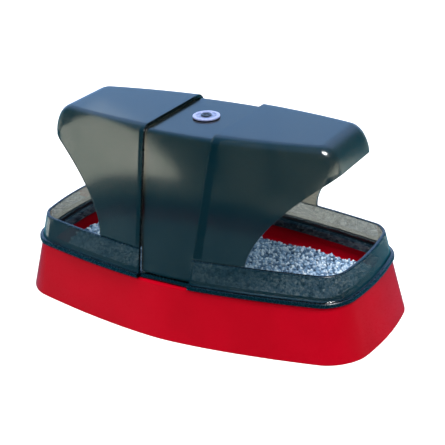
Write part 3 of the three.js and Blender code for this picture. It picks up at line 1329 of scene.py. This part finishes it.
@dataclass(frozen=True)
class Badge:
    """A pale ring on the roof with a sunk, ribbed face, held by a dark push-in peg."""

    seat: float
    radius: float
    height: float
    sink: float = 0.4
    sink_radius: float = 4.7
    ribs: int = 6
    rib_width: float = 0.9
    stem: float = 1.3
    barb: float = 1.8
    barb_length: float = 1.5
    head: float = 2.4
    head_height: float = 0.5
    slot_width: float = 0.7
    slot_depth: float = 0.3
    slot_share: float = 0.7  # the slot's length, as a share of the head's width
    tip: float = 0.3  # radius of the flats that close the peg
    bite: float = 0.1  # how far a rib sinks into the face, and stops below the edge
    wall: float = 1.5

    def ring(self) -> bpy.types.Object:
        """Builds the pale ring with ribs across its sunk face, whose floor takes the second slot: a darker
        painted shade in the recess.

        Returns:
            The ring's object.
        """
        hole, low, high = self.stem + GAP, self.seat, self.seat + self.height
        floor = high - self.sink
        section = (
            (hole, low, 0, 0),
            (self.radius, low, 0.1, 0),
            (self.radius, high, 0.3, 0),
            (self.sink_radius, high, 0.2, 0),
            (self.sink_radius, floor, 0.1, 0),
            (hole, floor, 0.1, 0),
        )
        ring = Turned("badge_ring_moulding", section, loop=True).build()
        start, stop = self.head + GAP, self.sink_radius + GAP
        for k in range(self.ribs):
            half = self.rib_width / 2
            plan = np.array([(start, -half), (stop, -half), (stop, half), (start, half)])
            angle = 2 * math.pi * (k + 0.5) / self.ribs
            turn = np.array([(math.cos(angle), math.sin(angle)), (-math.sin(angle), math.cos(angle))])
            heights = (floor - self.bite, high - self.bite)
            rings = [np.column_stack([plan @ turn, np.full(4, z)]) for z in heights]
            rib = as_object("rib", *loft(rings))
            modifier(ring, "BOOLEAN", operation="UNION", object=rib, solver="EXACT")
            baked(ring)
            bpy.data.objects.remove(rib)
        ring.data.set_sharp_from_angle(angle=SHARP)
        # The sunk floor's up-facing faces get the second slot, a darker blue grey that is painted shade in
        # the recess.
        level = (floor + self.bite / 2) * MM
        for polygon in ring.data.polygons:
            if polygon.center.z < level and polygon.normal.z > 0.5:
                polygon.material_index = PAINTED_SHADE_SLOT
        return ring

    def peg(self) -> bpy.types.Object:
        """Builds the dark peg, with a cross slot in its head.

        Returns:
            The peg's object.
        """
        seat = self.seat + self.height - self.sink + GAP
        grip = self.seat - 2 * GAP - self.wall
        top = seat + self.head_height
        section = (
            (self.tip, grip - self.barb_length, 0, 0),
            (self.stem / 2, grip - self.barb_length, 0.2, 0),
            (self.barb, grip, 0.1, 0),
            (self.stem, grip, 0, 0),
            (self.stem, seat, 0, 0),
            (self.head, seat, 0.1, 0),
            (self.head, top, 0.35, 0),
            (self.tip, top, 0, 0),
        )
        peg = Turned("badge_peg_moulding", section, loop=False).build()
        long, half = self.head * self.slot_share, self.slot_width / 2
        for a, b in ((long, half), (half, long)):
            plan = np.array([(-a, -b), (a, -b), (a, b), (-a, b)])
            rings = [np.column_stack([plan, np.full(4, z)]) for z in (top - self.slot_depth, top + 1)]
            without(peg, as_object("slot", *loft(rings)))
        peg.data.set_sharp_from_angle(angle=SHARP)
        return peg


# ------------------------------------------------------------------------------ studio


@dataclass(frozen=True)
class Camera:
    """Where the picture is taken from."""

    azimuth: float = 31.4
    elevation: float = 27.97
    distance: float = 568.03
    aim_along: float = 5.28
    aim_height: float = 36.89
    roll: float = -2.31
    lens: float = 95.83

    def place(self) -> bpy.types.Object:
        """Makes the camera and makes it the scene's.

        Returns:
            The camera.
        """
        az, el, roll = (math.radians(v) for v in (self.azimuth, self.elevation, self.roll))
        away = Vector((math.sin(az) * math.cos(el), -math.cos(az) * math.cos(el), math.sin(el)))
        spot = away * self.distance
        aim = Vector((self.aim_along * math.cos(az), self.aim_along * math.sin(az), self.aim_height))
        back = (spot - aim).normalized()
        right = Vector((0, 0, 1)).cross(back).normalized()
        up = back.cross(right)
        across = right * math.cos(roll) + up * math.sin(roll)
        over = up * math.cos(roll) - right * math.sin(roll)
        data = bpy.data.cameras.new("camera")
        data.lens, data.clip_start = self.lens, 0.01
        made = bpy.data.objects.new("camera", data)
        made.matrix_world = Matrix.Translation(spot * MM) @ Matrix((across, over, back)).transposed().to_4x4()
        bpy.context.scene.collection.objects.link(made)
        bpy.context.scene.camera = made
        return made


@dataclass(frozen=True)
class Softbox:
    """A soft lamp that points at the object."""

    name: str
    spot: tuple[float, float, float]
    width: float
    power: float
    mirrored: bool = False  # whether it shows in reflections
    aim: tuple[float, float, float] = (0, 0, 0.04)  # the middle of the object

    def place(self) -> bpy.types.Object:
        """Makes the lamp.

        Returns:
            The lamp.
        """
        data = bpy.data.lights.new(self.name, "AREA")
        data.shape, data.size = "DISK", self.width
        data.energy = self.power
        made = bpy.data.objects.new(self.name, data)
        made.location = self.spot
        away = Vector(self.spot) - Vector(self.aim)
        made.rotation_euler = away.to_track_quat("Z", "Y").to_euler()
        made.visible_glossy = self.mirrored
        made.visible_transmission = False
        bpy.context.scene.collection.objects.link(made)
        return made


@dataclass(frozen=True)
class Studio:
    """A plain pale floor in a bright room, with soft lamps and a cool window behind the object."""

    floor_colour: str = "f6f6f6"
    floor_reach: float = 6000.0
    room: Colour = (0.62, 0.62, 0.62, 1.0)
    gloom: Colour = (0.01, 0.15, 0.24, 1.0)  # what a reflection shows where no light is
    window: Colour = (0.46, 0.72, 1.3, 1.0)  # a blue window behind, to the left
    window_way: tuple[float, float, float] = (-0.46, 0.754, 0.469)
    window_span: tuple[float, float] = (0.6, 0.88)  # cosine of the angle off its middle
    ceiling: Colour = (0.14, 0.5, 0.9, 1.0)
    ceiling_span: tuple[float, float] = (0.5, 0.9)  # height of the way that it is seen
    bright_bounces: float = 2.5  # rays that have bounced more often see only the gloom
    lamps: tuple[Softbox, ...] = field(
        default_factory=lambda: (
            Softbox("key_softbox", (0.5, -0.2, 0.85), 0.3, 11.0, mirrored=True),
            Softbox("fill_softbox", (-0.55, -0.5, 0.6), 0.5, 4.0),
            Softbox("top_softbox", (-0.1, 0.1, 1.1), 0.9, 10.0),
        )
    )

    def floor(self) -> bpy.types.Object:
        """Lays the floor, which shows through the plastic but isn't mirrored by it.

        Returns:
            The floor's object.
        """
        span = self.floor_reach
        square = np.array([(-span, -span, 0), (span, -span, 0), (span, span, 0), (-span, span, 0)], float)
        made = as_object("studio_floor", square, [(0, 1, 2, 3)])
        paper = bpy.data.materials.new("matt_paper_floor")
        paper.use_nodes = True
        shader = paper.node_tree.nodes["Principled BSDF"]
        shader.inputs["Base Color"].default_value = linear(self.floor_colour)
        shader.inputs["Roughness"].default_value = 0.95
        shader.inputs["Specular IOR Level"].default_value = 0.0
        made.data.materials.append(paper)
        made.visible_glossy = False
        return made

    def sky(self) -> None:
        """Lights the room: plain white to the eye, with a blue window in the first reflection."""
        world = bpy.data.worlds.new("studio_room")
        world.cycles.sampling_method = "NONE"  # the room differs for the eye and for a shine
        bpy.context.scene.world = world
        world.use_nodes = True
        tree = world.node_tree
        tree.nodes.clear()
        way = add(tree, "ShaderNodeTexCoord").outputs["Generated"]
        height = add(tree, "ShaderNodeSeparateXYZ", links={"Vector": way}).outputs["Z"]
        toward = add(tree, "ShaderNodeVectorMath", operation="DOT_PRODUCT", links={0: way})
        toward.inputs[1].default_value = self.window_way
        window = self.glow(tree, toward.outputs["Value"], self.window_span, self.window)
        ceiling = self.glow(tree, height, self.ceiling_span, self.ceiling)
        both = add(tree, "ShaderNodeMix", data_type="RGBA", blend_type="ADD", links={6: window, 7: ceiling})
        both.inputs[0].default_value = 1.0
        path = add(tree, "ShaderNodeLightPath")
        first = add(tree, "ShaderNodeMath", operation="LESS_THAN", links={0: path.outputs["Ray Depth"]})
        first.inputs[1].default_value = self.bright_bounces
        lit = {0: first.outputs["Value"], 7: both.outputs[2]}
        seen = add(tree, "ShaderNodeMix", data_type="RGBA", links=lit)
        seen.inputs[6].default_value = self.gloom
        mirrored = add(tree, "ShaderNodeBackground", links={"Color": seen.outputs[2]})
        plain = add(tree, "ShaderNodeBackground", Color=self.room)
        sides = {
            0: path.outputs["Is Glossy Ray"],
            1: plain.outputs["Background"],
            2: mirrored.outputs["Background"],
        }
        whole = add(tree, "ShaderNodeMixShader", links=sides)
        add(tree, "ShaderNodeOutputWorld", links={"Surface": whole.outputs["Shader"]})

    def glow(
        self,
        tree: Tree,
        value: Socket,
        span: tuple[float, float],
        colour: Colour,
    ) -> Socket:
        """Fades a light in as a value rises.

        Args:
            tree: The node tree.
            value: What it depends on.
            span: Where the light starts and where it is full.
            colour: The full light.

        Returns:
            The colour output.
        """
        fade = add(
            tree,
            "ShaderNodeMapRange",
            interpolation_type="SMOOTHSTEP",
            links={"Value": value},
            From_Min=span[0],
            From_Max=span[1],
        )
        return blended(tree, fade.outputs["Result"], self.gloom, colour)

    def build(self) -> None:
        """Builds the whole studio."""
        self.floor()
        self.sky()
        for lamp in self.lamps:
            lamp.place()
        bpy.context.scene.view_settings.view_transform = "Standard"


# ------------------------------------------------------------------------------ the whole


def main() -> None:
    """Builds every piece in order, dresses it and sets the studio."""
    logging.basicConfig(level=logging.INFO, format="%(name)s: %(message)s")
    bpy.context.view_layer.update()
    _, tray_high = size_of("tray")
    _, collar_high = size_of("collar")
    _, hood_high = size_of("right_hood")
    _, litter_high = size_of("litter")
    ring_low, ring_high = size_of("badge_ring")

    Camera().place()
    plan = Plan(half_length=tray_high[0] + EASED[0], half_width=tray_high[1] + EASED[1])
    tray = Tray(plan, height=tray_high[2])
    cover = Cover(plan, seat=tray_high[2] + GAP, collar_top=collar_high[2], top=hood_high[2])
    badge = Badge(seat=ring_low[2], radius=ring_high[0], height=ring_high[2] - ring_low[2])

    red = GlossRed("red_polystyrene_moulded").material()
    clear = SmokedClear("smoked_san_polished", tint="666a66", deep_tint="5e625f", shine=0.4).material()
    smoke = SmokedClear("smoked_san_textured", roughness=(0.17, 0.22), peel=0.03).material()
    # The edge finish is a near-black tint on the walls' cut edges, the flange and the notches: painted shade
    # that stands in for the dark lines there.
    rim_shade = SmokedClear(
        "smoked_san_rim",
        tint="161e26",
        deep_tint="10171e",
        lamp_tint="50585a",
        shine=0.12,
        roughness=(0.2, 0.3),
    ).material()
    pale = SatinBadge("lavender_abs_satin").material()
    dark = SatinBadge("charcoal_abs_satin", base="1a1d2a", worn="2a2e3e").material()
    # A darker blue grey for the badge's sunk floor: painted shade in the recess.
    recess_shade = SatinBadge("slate_abs_recess", base="6c7a9e", worn="5a688b").material()
    stone = DryGranules("blue_mineral_granules").material()

    dressed(tray.build(), [red], "tray", "tray")
    litter = LitterBed(plan, tray, level=litter_high[2])
    dressed(litter.build(), [stone], "tray", "litter")
    dressed(Collar(cover).build(), [clear, rim_shade], "collar", "collar")
    dressed(CentreBand(cover).build(), [smoke, rim_shade], "band", "centre_band")
    for end in End:
        node = f"{end.name.lower()}_hood"
        dressed(HoodHalf(cover, end).build(), [smoke, rim_shade], node, node)
    dressed(badge.ring(), [pale, recess_shade], "band", "badge_ring")
    dressed(badge.peg(), [dark], "band", "badge_peg")
    Studio().build()


if __name__ == "__main__":
    main()
